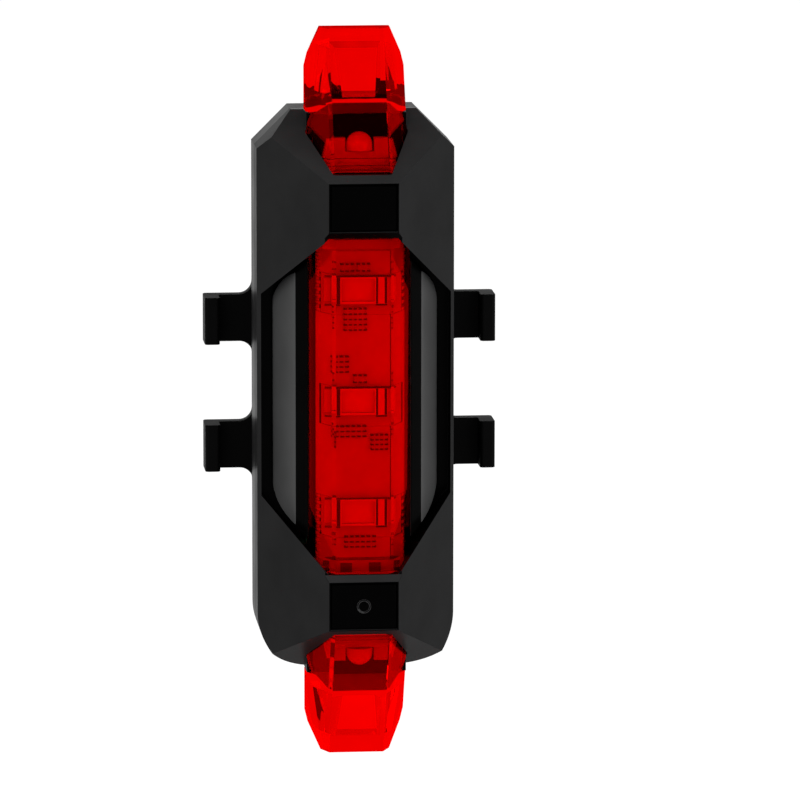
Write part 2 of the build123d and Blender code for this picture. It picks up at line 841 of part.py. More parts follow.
def rear_housing():
    """Rear shell with the socket opening and its screw bosses."""
    shell = front_prism(body_outline(), split_depth, body_depth)
    shell = chamfer(shell.faces().sort_by(Axis.Y)[-1].edges(), back_chamfer)
    shell = shell - front_prism(body_outline(wall), 0, inner_back_depth)
    for x, z in four_places(housing_screw_x, housing_screw_z):
        shell = shell + pin(boss_radius, split_depth, inner_back_depth, x, z)
    for x, z in four_places(bracket_screw_x, bracket_screw_z):
        near = bracket_screw_tip() - fit_gap - boss_tip_wall
        shell = shell + pin(boss_radius, near, inner_back_depth, x, z)
    thick_near = body_depth - cover_recess_depth - cover_recess_floor
    half = cover_width / 2 + wall
    span = (cover_hinge_z() - cover_thickness, usb_z + cover_rise + wall)
    thick = block((-half, half), (thick_near, inner_back_depth), span)
    shell = shell + thick - cover_recess()
    slot = usb_outline(usb_outer_width + 2 * usb_slot_gap, usb_outer_height + 2 * usb_slot_gap)
    shell = shell - front_prism(slot, 0, body_depth + wall)
    shell = shell - seal_ring(seal_width + 2 * seat_gap, seal_height + seat_gap)
    for x, z in four_places(housing_screw_x, housing_screw_z):
        head_near = body_depth - housing_screw_recess - screw_head_height
        shell = shell - pin(screw_radius + fit_gap, 0, body_depth, x, z)
        shell = shell - pin(screw_head_radius + fit_gap, head_near, body_depth + wall, x, z)
    for x, z in four_places(bracket_screw_x, bracket_screw_z):
        shell = shell - pin(screw_radius, bracket_screw_tip() - fit_gap, body_depth, x, z)
    return shell


def seal_ring(width, height):
    """Ring along the middle of the housing wall."""
    outer = body_outline((wall - width) / 2)
    inner = body_outline((wall + width) / 2)
    ring = front_prism(outer, split_depth, split_depth + height)
    return ring - front_prism(inner, 0, body_depth)


def housing_seal():
    """Rubber seal in the groove of the rear shell."""
    return seal_ring(seal_width, seal_height)


def screw(x, z, head_back, length):
    """Small cross-slotted screw whose head lies towards the seat post."""
    head_near = head_back - screw_head_height
    head = pin(screw_head_radius, head_near, head_back, x, z)
    shank = pin(screw_radius, head_near - length, head_near, x, z)
    slots = []
    for size in ((screw_slot_length, screw_slot_width), (screw_slot_width, screw_slot_length)):
        slots.append(centred_block(*size, (head_back - screw_slot_depth, head_back + wall), x, z))
    return head + shank - slots


def housing_screws():
    """Screws that hold the two shells together."""
    back = body_depth - housing_screw_recess
    places = four_places(housing_screw_x, housing_screw_z)
    return [screw(x, z, back, housing_screw_length) for x, z in places]


def bracket_screw_tip():
    """Depth of the tips of the bracket screws."""
    return body_depth + bracket_thickness - screw_head_height - bracket_screw_length


def bracket_screws():
    """Screws that hold the strap bracket, under the saddle."""
    back = body_depth + bracket_thickness
    places = four_places(bracket_screw_x, bracket_screw_z)
    return [screw(x, z, back, bracket_screw_length) for x, z in places]


def bracket_plate():
    """Back plate with its four arms, rounded where they leave it."""
    back = body_depth + bracket_thickness
    plate = centred_block(bracket_width, 2 * bracket_half_height, (body_depth, back))
    plate = fillet(plate.edges().filter_by(Axis.Y), bracket_corner_radius)
    reach = hook_span - lip_thickness
    for end in (-1, 1):
        z = end * hook_spacing / 2
        plate = plate + centred_block(reach, hook_height, (body_depth, back), z=z)
    edge_x = bracket_width / 2
    edges = plate.edges().filter_by(Axis.Y)
    edges = edges.filter_by(lambda e: abs(abs(e.center().X) - edge_x) < fit_gap)
    return fillet(edges.filter_by(lambda e: abs(e.center().Z) < hook_top_z + fit_gap), hook_root_radius)


def strap_bracket():
    """Back plate with four hooks for the strap, their lips turned to the front."""
    back = body_depth + bracket_thickness
    bracket = bracket_plate()
    for x, z in four_places((hook_span - lip_thickness) / 2, hook_spacing / 2):
        lip = centred_block(lip_thickness, hook_height, (body_depth - lip_reach, back), x, z)
        bracket = bracket + fillet(lip.edges().filter_by(Axis.Z), lip_edge_radius)
    for x, z in four_places(bracket_screw_x, bracket_screw_z):
        bracket = bracket - pin(screw_radius + fit_gap, 0, 2 * body_depth, x, z)
        bracket = bracket - pin(screw_head_radius + fit_gap, back - screw_head_height, 2 * body_depth, x, z)
    for z in (-peg_spacing / 2, peg_spacing / 2):
        bracket = bracket - pin(peg_radius + seat_gap, 0, 2 * body_depth, z=z)
    return bracket


def saddle_pad():
    """Rubber saddle that fits the seat post, ribbed across, with two pegs."""
    near = body_depth + bracket_thickness
    far = near + saddle_floor + saddle_rise
    outline = RectangleRounded(saddle_width, saddle_height, saddle_corner_radius)
    pad = front_prism(outline, near, far)
    post = Pos(0, post_radius, 0) * Cylinder(post_radius, 2 * saddle_height)
    pad = pad - post
    first = -(saddle_groove_count - 1) * saddle_groove_pitch / 2
    grooves = []
    for index in range(saddle_groove_count):
        z = first + index * saddle_groove_pitch
        ring = Pos(0, post_radius, z) * Cylinder(post_radius + saddle_groove_depth, saddle_groove_width)
        grooves.append(ring)
    pad = pad - grooves
    for z in (-peg_spacing / 2, peg_spacing / 2):
        pad = pad + pin(peg_radius, body_depth + seat_gap, near, z=z)
    return pad


def all_nodes():
    """Every sub-part under its name."""
    nodes = {
        "front_bezel": front_bezel(),
        "lens": lens(),
        "left_side_bar": side_bar(-1),
        "right_side_bar": side_bar(1),
        "bridge_plate": bridge_plate(),
        "power_button": power_button(),
        "switch_base": switch_base(),
        "switch_plunger": switch_plunger(),
        "main_board": main_board(),
        "led_upper": window_led(led_pitch),
        "led_middle": window_led(0),
        "led_lower": window_led(-led_pitch),
        "end_led_top": end_led(1),
        "end_led_bottom": end_led(-1),
        "small_chips": small_chips(),
        "control_chip": control_chip(),
        "battery_cell": battery_cell(),
        "foam_front": foam_pad(board_back_depth, cell_front_depth),
        "foam_rear": foam_pad(cell_back_depth, inner_back_depth),
        "battery_lead_red": battery_lead(1),
        "battery_lead_black": battery_lead(-1),
        "charge_board": charge_board(),
        "charge_chip": charge_chip(),
        "charge_wires": charge_wires(),
        "usb_shell": usb_shell(),
        "usb_tongue": usb_tongue(),
        "usb_cover": usb_cover(),
        "rear_housing": rear_housing(),
        "housing_seal": housing_seal(),
        "housing_screws": housing_screws(),
        "strap_bracket": strap_bracket(),
        "bracket_screws": bracket_screws(),
        "saddle_pad": saddle_pad(),
    }
    return nodes


def write_parts():
    """Write one file for each sub-part."""
    os.makedirs("parts", exist_ok=True)
    for name, shape in all_nodes().items():
        solids = shape if isinstance(shape, list) else [shape]
        flat = [solid for piece in solids for solid in piece.solids()]
        export_step(flat[0] if len(flat) == 1 else Compound(children=flat), f"parts/{name}.step")


write_parts()
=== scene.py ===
import itertools
import json
import math

import bmesh
import bpy
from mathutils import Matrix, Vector

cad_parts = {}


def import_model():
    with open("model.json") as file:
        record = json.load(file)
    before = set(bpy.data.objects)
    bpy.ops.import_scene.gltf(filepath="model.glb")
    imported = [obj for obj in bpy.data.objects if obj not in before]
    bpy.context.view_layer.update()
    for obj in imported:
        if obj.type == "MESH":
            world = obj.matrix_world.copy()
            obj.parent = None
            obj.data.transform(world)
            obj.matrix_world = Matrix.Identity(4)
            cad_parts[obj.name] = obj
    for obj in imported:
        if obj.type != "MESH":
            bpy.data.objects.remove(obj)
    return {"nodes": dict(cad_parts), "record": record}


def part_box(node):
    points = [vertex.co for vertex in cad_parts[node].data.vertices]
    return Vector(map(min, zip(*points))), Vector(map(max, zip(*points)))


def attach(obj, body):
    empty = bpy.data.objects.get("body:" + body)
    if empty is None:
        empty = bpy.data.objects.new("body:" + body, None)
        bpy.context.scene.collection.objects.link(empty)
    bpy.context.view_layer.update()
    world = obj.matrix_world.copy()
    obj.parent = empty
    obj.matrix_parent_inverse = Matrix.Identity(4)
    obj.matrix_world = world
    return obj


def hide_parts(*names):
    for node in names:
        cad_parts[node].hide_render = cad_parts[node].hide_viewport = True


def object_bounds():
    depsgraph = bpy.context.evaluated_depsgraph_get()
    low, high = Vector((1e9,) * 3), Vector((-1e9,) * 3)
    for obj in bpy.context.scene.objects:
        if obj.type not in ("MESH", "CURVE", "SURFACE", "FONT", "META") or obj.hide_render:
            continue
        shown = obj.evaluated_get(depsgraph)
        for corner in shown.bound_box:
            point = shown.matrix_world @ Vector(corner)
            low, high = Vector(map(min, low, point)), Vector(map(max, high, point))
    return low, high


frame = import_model()
cad_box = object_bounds()
MM = 0.001
white = (1, 1, 1, 1)

# Camera
camera_azimuth = math.radians(-5.13)
camera_elevation = math.radians(9.69)
camera_distance = 667 * MM
camera_lens = 290.6
camera_sensor = 36
camera_shift = (0.0449, 0.01075)
camera_clip = (0.01, 50)

# Room, backdrop and floor
room_strength = 0.6
dim_strength = 0.05
backdrop_side = (0.05, 0.3)
backdrop_top = (0.35, 0.5)
floor_gap = 30 * MM
floor_reach = 6.0
floor_tone = 0.3
floor_glow = 0.82
floor_roughness = 0.9

# Lamps
lamp_target = (0, -0.01, 0)
lamp_size = 0.5
key_position = (-0.35, -0.55, 0.3)
key_power = 2.4
fill_position = (0.45, -0.5, 0.1)
fill_power = 2.6

# Noise that varies tone and roughness: the part of its range in use, its scale and its effect
noise_range = (0.3, 0.7)
blend_range = (0.35, 0.65)
moulded_scale = 160.0
moulded_drift = (0.88, 1.12)
grain_detail = 2.0
metal_scale = 900.0
metal_drift = (0.8, 1.3)
metal_shade = 0.8
clear_scale = 220.0
clear_drift = (0.7, 1.3)
clear_shade = 0.96

# Flow marks in the clear noses of the lens
streak_start_z = 29.5 * MM
streak_full_z = 31.0 * MM
streak_fade_z = 31.2 * MM
streak_end_z = 38.0 * MM
streak_width = 1.5 * MM
streak_stretch = 0.12
streak_depth = 0.25 * MM
streak_detail = 0.3
streak_roughness = 0.4

# Soldered leads of the parts on the board, drawn near black as painted shade
lead_pitch = 0.45 * MM
lead_width = 0.19 * MM
lead_length = 0.55 * MM
lead_gap = 0.13 * MM
lead_overhang = 0.12 * MM
lead_proud = 0.03 * MM
lead_bevel = 0.2
fewest_leads = 2

# Solder on a light package, near black as painted shade: one post at the left end, a ladder of two at the
# right, and edge lines that are painted shadow
package_posts = ((-2.5 * MM, -2.1 * MM), (1.6 * MM, 1.85 * MM), (2.5 * MM, 2.8 * MM))
package_edge = 0.2 * MM

# Look of a light package: how squarely a face must look forward to be bright; faces that look aside get
# painted shade
package_facing = (0.6, 0.9)
package_roughness = 0.35

# Rounding of moulded edges
shell_edge = 0.16 * MM
trim_edge = 0.22 * MM
lens_edge = 0.08 * MM
edge_segments = 3
edge_angle = math.radians(20)
flat_angle = math.radians(0.6)
weld_distance = 1e-6

# Rims and lips of the two bridges of the bezel, painted black as shade where they do not face upwards
bridge_half_width = 3.9 * MM
bridge_start_z = 14.5 * MM
bridge_end_z = 24.5 * MM
bridge_top_slope = 0.3

# Ledge of the bezel behind each nose of the lens, painted black as shade
ledge_half_width = 5.1 * MM
ledge_start_z = 26 * MM
ledge_front_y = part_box("front_bezel")[0][1] + 8.5 * MM

# Side recesses of the bezel, painted black as shade, and how far forward its big outer facets look, which
# keep the bezel's tone
recess_half_width = 10.02 * MM
recess_end_z = 17.75 * MM
recess_corner_z = 10.8 * MM
recess_slope = 1.09
facet_facing = (0.3, 0.8)

# Outer slope of the side bars, which carries a painted reflection: its direction, and how closely a face
# must match it
bar_slope_normal = (0.903, 0.43)
bar_slope_match = 0.97

# End walls of the lens's hollow, square to the slanted legs
leg_direction = (0.4824, 0.876)
hollow_half_width = 4.5 * MM
hollow_end_match = 0.99

# Ring of the button, whose groove carries a painted highlight
button_z = -20.85 * MM
ring_inner = 0.5 * MM
ring_outer = 0.78 * MM
ring_floor_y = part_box("power_button")[0][1] + 0.05 * MM


def place(obj):
    """Link a new object to the scene."""
    bpy.context.scene.collection.objects.link(obj)
    return obj


def body_of_node(name):
    """Name of the body that a CAD node belongs to."""
    bodies = frame["record"]["behaviour"]["bodies"]
    return next(body for body, members in bodies.items() if name in members)


def slot_of_node(name):
    """Material slot of a CAD node."""
    return next(row["material_slot"] for row in frame["record"]["subparts"] if row["node"] == name)


# Nodes of a material


def new_material(name):
    """New material and its empty node tree."""
    material = bpy.data.materials.new(name)
    material.use_nodes = True
    tree = material.node_tree
    tree.nodes.clear()
    return material, tree


def add_node(tree, kind, **values):
    """Node with its inputs and settings."""
    node = tree.nodes.new(kind)
    for key, value in values.items():
        if key in node.inputs:
            node.inputs[key].default_value = value
        else:
            setattr(node, key, value)
    return node


def axes_of(tree, vector):
    """X, Y and Z of a linked vector."""
    split = add_node(tree, "ShaderNodeSeparateXYZ")
    tree.links.new(vector, split.inputs["Vector"])
    return split.outputs


def combined(tree, operation, first, second=0.0):
    """Result of a maths node on one or two values, either linked or plain."""
    node = add_node(tree, "ShaderNodeMath", operation=operation)
    for index, value in enumerate((first, second)):
        if isinstance(value, (int, float)):
            node.inputs[index].default_value = value
        else:
            tree.links.new(value, node.inputs[index])
    return node.outputs[0]


def ramp_of(tree, source, low, high):
    """Smooth step from 0 to 1 between two values."""
    node = add_node(tree, "ShaderNodeMapRange", interpolation_type="SMOOTHSTEP")
    node.inputs["From Min"].default_value = low
    node.inputs["From Max"].default_value = high
    tree.links.new(source, node.inputs["Value"])
    return node.outputs["Result"]


def noise(tree, scale, detail=3.0, roughness=0.55):
    """Noise over the object's own coordinates, with features about one over scale in size."""
    where = add_node(tree, "ShaderNodeTexCoord")
    texture = add_node(tree, "ShaderNodeTexNoise", Scale=scale, Detail=detail, Roughness=roughness)
    tree.links.new(where.outputs["Object"], texture.inputs["Vector"])
    return texture.outputs["Fac"]


def drifting(tree, source, roughness, share):
    """Roughness that a noise value moves between two shares of its plain value."""
    node = add_node(tree, "ShaderNodeMapRange")
    node.inputs["From Min"].default_value = noise_range[0]
    node.inputs["From Max"].default_value = noise_range[1]
    node.inputs["To Min"].default_value = roughness * share[0]
    node.inputs["To Max"].default_value = roughness * share[1]
    tree.links.new(source, node.inputs["Value"])
    return node.outputs["Result"]


def blend_colours(tree, source, first, second):
    """Colour between two, chosen by a value from 0 to 1."""
    ramp = add_node(tree, "ShaderNodeValToRGB")
    stops = ramp.color_ramp.elements
    for stop, position, colour in zip(stops, blend_range, (first, second)):
        stop.position = position
        stop.color = (*colour, 1)
    tree.links.new(source, ramp.inputs["Fac"])
    return ramp.outputs["Color"]


# Materials


def moulded(name, first, second, roughness, grain=0.0, grain_size=0.12, specular=0.5):
    """Moulded surface: two close tones, a drifting roughness and a fine grain in its relief."""
    material, tree = new_material(name)
    shader = add_node(tree, "ShaderNodeBsdfPrincipled")
    shader.inputs["Specular IOR Level"].default_value = specular
    output = add_node(tree, "ShaderNodeOutputMaterial")
    drift = noise(tree, moulded_scale)
    tree.links.new(blend_colours(tree, drift, first, second), shader.inputs["Base Color"])
    tree.links.new(drifting(tree, drift, roughness, moulded_drift), shader.inputs["Roughness"])
    if grain:
        fine = noise(tree, 1.0 / (grain_size * MM), detail=grain_detail)
        bump = add_node(tree, "ShaderNodeBump", Strength=1.0, Distance=grain * MM)
        tree.links.new(fine, bump.inputs["Height"])
        tree.links.new(bump.outputs["Normal"], shader.inputs["Normal"])
    tree.links.new(shader.outputs["BSDF"], output.inputs["Surface"])
    return material


def metal(name, colour, roughness):
    """Plated metal with a fine grain."""
    material, tree = new_material(name)
    shader = add_node(tree, "ShaderNodeBsdfPrincipled")
    shader.inputs["Metallic"].default_value = 1.0
    output = add_node(tree, "ShaderNodeOutputMaterial")
    grain = noise(tree, metal_scale)
    darker = tuple(metal_shade * value for value in colour)
    tree.links.new(blend_colours(tree, grain, darker, colour), shader.inputs["Base Color"])
    tree.links.new(drifting(tree, grain, roughness, metal_drift), shader.inputs["Roughness"])
    tree.links.new(shader.outputs["BSDF"], output.inputs["Surface"])
    return material


def flow_marks(tree):
    """Relief of fine flow marks that run along both noses of the lens."""
    where = add_node(tree, "ShaderNodeTexCoord")
    height = combined(tree, "ABSOLUTE", axes_of(tree, where.outputs["Object"])["Z"])
    begun = ramp_of(tree, height, streak_start_z, streak_full_z)
    ended = ramp_of(tree, height, streak_fade_z, streak_end_z)
    amount = combined(tree, "SUBTRACT", begun, ended)
    stretched = add_node(tree, "ShaderNodeMapping")
    stretched.inputs["Scale"].default_value = (1, streak_stretch, streak_stretch)
    tree.links.new(where.outputs["Object"], stretched.inputs["Vector"])
    marks = add_node(tree, "ShaderNodeTexNoise", Scale=1 / streak_width)
    marks.inputs["Detail"].default_value = streak_detail
    marks.inputs["Roughness"].default_value = streak_roughness
    tree.links.new(stretched.outputs["Vector"], marks.inputs["Vector"])
    relief = combined(tree, "MULTIPLY", marks.outputs["Fac"], amount)
    bump = add_node(tree, "ShaderNodeBump", Strength=1.0, Distance=streak_depth)
    tree.links.new(relief, bump.inputs["Height"])
    return bump.outputs["Normal"]


def clear_plastic(name, colour, let_through, ior, roughness):
    """Clear moulding that light passes through on its way to what lies behind it."""
    material, tree = new_material(name)
    shader = add_node(tree, "ShaderNodeBsdfGlass")
    shader.inputs["IOR"].default_value = ior
    output = add_node(tree, "ShaderNodeOutputMaterial")
    drift = noise(tree, clear_scale)
    deeper = tuple(clear_shade * value for value in colour)
    tree.links.new(blend_colours(tree, drift, deeper, colour), shader.inputs["Color"])
    tree.links.new(drifting(tree, drift, roughness, clear_drift), shader.inputs["Roughness"])
    tree.links.new(flow_marks(tree), shader.inputs["Normal"])
    through = add_node(tree, "ShaderNodeBsdfTransparent")
    through.inputs["Color"].default_value = (*let_through, 1)
    path = add_node(tree, "ShaderNodeLightPath")
    mix = add_node(tree, "ShaderNodeMixShader")
    tree.links.new(path.outputs["Is Shadow Ray"], mix.inputs["Fac"])
    tree.links.new(shader.outputs["BSDF"], mix.inputs[1])
    tree.links.new(through.outputs["BSDF"], mix.inputs[2])
    tree.links.new(mix.outputs["Shader"], output.inputs["Surface"])
    return material


def light_package(name, lit, painted_shade_sides):
    """White light package: bright in front, with painted shade on the faces that look aside."""
    material, tree = new_material(name)
    shader = add_node(tree, "ShaderNodeBsdfPrincipled", Roughness=package_roughness)
    output = add_node(tree, "ShaderNodeOutputMaterial")
    surface = add_node(tree, "ShaderNodeTexCoord")
    forward = combined(tree, "ABSOLUTE", axes_of(tree, surface.outputs["Normal"])["Y"])
    facing = ramp_of(tree, forward, *package_facing)
    tree.links.new(blend_colours(tree, facing, painted_shade_sides, lit), shader.inputs["Base Color"])
    tree.links.new(shader.outputs["BSDF"], output.inputs["Surface"])
    return material


def tone(value):
    """Neutral colour of one brightness."""
    return (value, value, value)


def outer_materials():
    """Materials of the shells, the trim, the lens and the button."""
    black = (0.0195, 0.0195, 0.0197)
    grey = (0.0235, 0.0235, 0.0237)
    red = (0.955, 0.0, 0.0)
    red_light = (0.51, 0.0, 0.0)
    return {
        "bezel": moulded("bezel", black, grey, 0.34, grain=0.003, grain_size=0.1, specular=0.005),
        "rear_shell": moulded("rear_shell", black, grey, 0.45, grain=0.006, specular=0.1),
        # Near-black trim, which on the bezel also serves as painted shade
        "gloss_trim": moulded("gloss_trim", tone(0.0005), tone(0.001), 0.25, specular=0.015),
        # Lighter grey for the side bars' outer slopes: a painted reflection of the studio light
        "bar_painted_reflection": moulded("bar_painted_reflection", tone(0.062), tone(0.072), 0.4, specular=0.1),
        "panel": moulded("panel", tone(0.0003), tone(0.0005), 0.3, specular=0.01),
        "lens": clear_plastic("lens", red, red_light, 1.49, 0.02),
        "frosted_red": moulded("frosted_red", (0.32, 0.0, 0.0), (0.42, 0.0, 0.0), 0.4),
        # Grey for the groove of the button's ring: a painted highlight
        "ring_painted_highlight": moulded("ring_painted_highlight", tone(0.02), tone(0.03), 0.35, specular=0.2),
    }


def inner_materials():
    """Materials of what the shells hold."""
    return {
        "switch_body": moulded("switch_body", tone(0.02), tone(0.04), 0.5, grain=0.004),
        "switch_stud": moulded("switch_stud", (0.7, 0.67, 0.6), (0.78, 0.75, 0.68), 0.45),
        "board_white": moulded("board_white", (0.6, 0.6, 0.58), (0.68, 0.68, 0.66), 0.3, grain=0.002),
        # The dark second colour is painted shade on the package faces that look aside
        "led_package": light_package("led_package", (0.9, 0.89, 0.84), (0.12, 0.12, 0.1)),
        # Near black: painted shade on the leads and posts, and painted shadow along the light packages'
        # edges
        "solder_and_painted_shade": moulded("solder_and_painted_shade", tone(0.01), tone(0.03), 0.4, specular=0.1),
        "ceramic": moulded("ceramic", (0.42, 0.34, 0.26), (0.55, 0.45, 0.36), 0.4),
        "led_dome": moulded("led_dome", (0.85, 0.82, 0.8), (0.95, 0.93, 0.9), 0.15),
        "chip_black": moulded("chip_black", tone(0.012), tone(0.03), 0.5, grain=0.003),
        "cell_pouch": metal("cell_pouch", (0.72, 0.72, 0.74), 0.32),
        "foam": moulded("foam", tone(0.04), tone(0.09), 0.95, grain=0.05, grain_size=0.3),
        "wire_red": moulded("wire_red", (0.5, 0.01, 0.01), (0.65, 0.02, 0.02), 0.35),
        "wire_black": moulded("wire_black", tone(0.01), tone(0.025), 0.35),
        "board_green": moulded("board_green", (0.012, 0.11, 0.045), (0.02, 0.16, 0.06), 0.3, grain=0.002),
        "socket_steel": metal("socket_steel", (0.72, 0.71, 0.69), 0.25),
    }


def back_materials():
    """Materials of the screws, the strap bracket, the saddle and the other rubber parts."""
    shadow = (0.022, 0.022, 0.023)
    rubber = (0.035, 0.035, 0.036)
    return {
        "soft_rubber": moulded("soft_rubber", tone(0.01), tone(0.018), 0.7, grain=0.008),
        "screw_steel": metal("screw_steel", (0.55, 0.54, 0.52), 0.3),
        "bracket": moulded("bracket", tone(0.0005), tone(0.001), 0.5, grain=0.004, specular=0.03),
        "saddle_rubber": moulded("saddle_rubber", shadow, rubber, 0.8, grain=0.012),
    }


def all_materials():
    """One procedural material for each slot of the record, and for each second finish and each painted
    reflection, highlight and shade.
    """
    return {**outer_materials(), **inner_materials(), **back_materials()}


def paint(materials):
    """Give every CAD node the material of its slot, and the small parts their ceramic bodies."""
    for name, node in frame["nodes"].items():
        node.data.materials.clear()
        node.data.materials.append(materials[slot_of_node(name)])
    frame["nodes"]["small_chips"].data.materials[0] = materials["ceramic"]


# Moulded edges


def welded(name):
    """Working mesh of a CAD node, with its doubled points joined."""
    work = bmesh.new()
    work.from_mesh(frame["nodes"][name].data)
    bmesh.ops.remove_doubles(work, verts=work.verts, dist=weld_distance)
    return work


def piece_from(name, work):
    """New piece from a working mesh, which is used up."""
    mesh = bpy.data.meshes.new(name)
    work.to_mesh(mesh)
    work.free()
    return place(bpy.data.objects.new(name, mesh))


def round_edges(piece, width):
    """Round the sharp edges of a piece, and keep the result as its mesh."""
    bevel = piece.modifiers.new("round", "BEVEL")
    bevel.width = width
    bevel.segments = edge_segments
    bevel.limit_method = "ANGLE"
    bevel.angle_limit = edge_angle
    bevel.use_clamp_overlap = True
    piece.modifiers.new("normals", "WEIGHTED_NORMAL").keep_sharp = True
    for polygon in piece.data.polygons:
        polygon.use_smooth = True
    bpy.context.view_layer.update()
    rounded = piece.evaluated_get(bpy.context.evaluated_depsgraph_get())
    baked = bpy.data.meshes.new_from_object(rounded)
    piece.modifiers.clear()
    piece.data = baked


def softened(name, width, materials):
    """Copy of a CAD piece with its sharp edges rounded, as moulding leaves them."""
    work = welded(name)
    bmesh.ops.dissolve_limit(work, angle_limit=flat_angle, verts=work.verts, edges=work.edges)
    piece = piece_from(name + "_soft", work)
    round_edges(piece, width)
    piece.data.materials.clear()
    piece.data.materials.append(materials[slot_of_node(name)])
    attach(piece, body_of_node(name))
    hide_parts(name)
    return piece


# Second finishes, and painted shade, reflection and highlight


def second_finish_or_painted_light(piece, material, chosen):
    """Give another material to the faces that a test of centre and normal picks out: a second finish,
    painted shade, a painted reflection or a painted highlight.
    """
    piece.data.materials.append(material)
    for polygon in piece.data.polygons:
        if chosen(polygon.center, polygon.normal):
            polygon.material_index = 1


def on_bar_slope(centre, normal):
    """True on the long outer slope of a side bar, where the reflection is painted."""
    across = abs(normal.x) * bar_slope_normal[0] - normal.y * bar_slope_normal[1]
    return across > bar_slope_match


def on_hollow_end(centre, normal):
    """True on the two walls that close the hollow of the lens towards its noses."""
    inward = -math.copysign(normal.z, normal.z * centre.z)
    leaning = inward * leg_direction[1] - normal.y * leg_direction[0]
    return leaning > hollow_end_match and abs(centre.x) < hollow_half_width


def on_ring(centre, normal):
    """True in the groove of the button's ring, where the highlight is painted."""
    away = math.hypot(centre.x, centre.z - button_z)
    return ring_inner < away < ring_outer and centre.y > ring_floor_y


def in_painted_shade_area(centre, normal):
    """True in the eight-sided recess of the bezel, on its bridges and on the ledges behind the noses: the
    faces that get painted shade.
    """
    x = abs(centre.x)
    z = abs(centre.z)
    corner = recess_corner_z + (recess_half_width - x) * recess_slope
    outer_facet = facet_facing[0] < -normal.y < facet_facing[1]
    recessed = x < recess_half_width and z < recess_end_z and z < corner
    on_bridge = x < bridge_half_width and bridge_start_z < z < bridge_end_z and normal.z < bridge_top_slope
    on_ledge = x < ledge_half_width and z > ledge_start_z and centre.y > ledge_front_y
    return on_bridge or (not outer_facet and (recessed or on_ledge))


# Soldered leads and painted shadow lines


def islands(name):
    """Lowest and highest corner of each separate solid of a CAD node."""
    work = welded(name)
    left = set(work.verts)
    boxes = []
    while left:
        found = set()
        waiting = [next(iter(left))]
        while waiting:
            vert = waiting.pop()
            if vert not in found:
                found.add(vert)
                waiting.extend(edge.other_vert(vert) for edge in vert.link_edges)
        left -= found
        low = [min(vert.co[axis] for vert in found) for axis in range(3)]
        high = [max(vert.co[axis] for vert in found) for axis in range(3)]
        boxes.append((low, high))
    work.free()
    return sorted(boxes)


def bar(work, low, high):
    """Add a small bar with bevelled edges to a mesh."""
    made = bmesh.ops.create_cube(work, size=1.0)["verts"]
    for vert in made:
        vert.co = Vector(low[k] + (vert.co[k] + 0.5) * (high[k] - low[k]) for k in range(3))
    edges = list({edge for vert in made for edge in vert.link_edges})
    width = lead_bevel * min(high[k] - low[k] for k in range(3))
    bmesh.ops.bevel(work, geom=edges, offset=width, segments=1, affect="EDGES")


def leads(work, low, high):
    """Rows of short soldered leads, one above the other, across a part on the board."""
    room = high[2] - low[2]
    rows = max(fewest_leads, round(room / lead_pitch))
    step = (room - lead_width) / (rows - 1)
    left = low[0] - lead_overhang
    span = high[0] + lead_overhang - left + lead_gap
    columns = max(fewest_leads, round(span / lead_length))
    front = low[1] - lead_proud
    for row, column in itertools.product(range(rows), range(columns)):
        z = low[2] + row * step
        x = left + column * span / columns
        bar(work, (x, front, z), (x + span / columns - lead_gap, high[1], z + lead_width))


def package_shade_posts_and_lines(work, low, high):
    """Posts at both ends of a light package, and painted shadow lines along its upper and lower edges."""
    front = low[1] - lead_proud
    back = low[1] + package_edge
    for start, end in package_posts:
        bar(work, (start, front, low[2]), (end, back, high[2]))
    left_post, ladder_start, ladder_end = package_posts
    bar(work, (low[0], front, high[2]), (high[0], back, high[2] + package_edge))
    for start, end in ((low[0], left_post[1]), (ladder_start[0], ladder_end[1])):
        bar(work, (start, front, low[2] - package_edge), (end, back, low[2]))


def painted_shade_leads_and_lines(materials):
    """Leads of every small part between the lights and the posts on the light packages, near black as
    painted shade, with painted shadow lines along the packages' edges.
    """
    work = bmesh.new()
    for low, high in islands("small_chips"):
        leads(work, low, high)
    for name in ("led_upper", "led_middle", "led_lower"):
        package_shade_posts_and_lines(work, *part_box(name))
    piece = piece_from("painted_shade_leads_and_lines", work)
    piece.data.materials.append(materials["solder_and_painted_shade"])
    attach(piece, body_of_node("small_chips"))


# Surroundings


def room_light(tree):
    """Strength of the room: white to the camera, dim but for the backdrop in mirrors, even elsewhere."""
    path = add_node(tree, "ShaderNodeLightPath")
    where = add_node(tree, "ShaderNodeTexCoord")
    axes = axes_of(tree, where.outputs["Generated"])
    behind = ramp_of(tree, axes["Y"], *backdrop_side)
    above = ramp_of(tree, axes["Z"], *backdrop_top)
    backdrop = combined(tree, "SUBTRACT", behind, combined(tree, "MULTIPLY", behind, above))
    mirrored = combined(tree, "MAXIMUM", path.outputs["Is Glossy Ray"], path.outputs["Is Transmission Ray"])
    seen = combined(tree, "MAXIMUM", backdrop, dim_strength)
    direct = combined(tree, "MULTIPLY", mirrored, seen)
    diffuse = combined(tree, "MULTIPLY", combined(tree, "SUBTRACT", 1.0, mirrored), room_strength)
    lit = combined(tree, "ADD", direct, diffuse)
    return combined(tree, "MAXIMUM", lit, path.outputs["Is Camera Ray"])


def world():
    """White backdrop behind the light in an evenly lit room."""
    surroundings = bpy.data.worlds.new("surroundings")
    bpy.context.scene.world = surroundings
    surroundings.use_nodes = True
    tree = surroundings.node_tree
    tree.nodes.clear()
    background = add_node(tree, "ShaderNodeBackground")
    background.inputs["Color"].default_value = white
    tree.links.new(room_light(tree), background.inputs["Strength"])
    output = add_node(tree, "ShaderNodeOutputWorld")
    tree.links.new(background.outputs["Background"], output.inputs["Surface"])


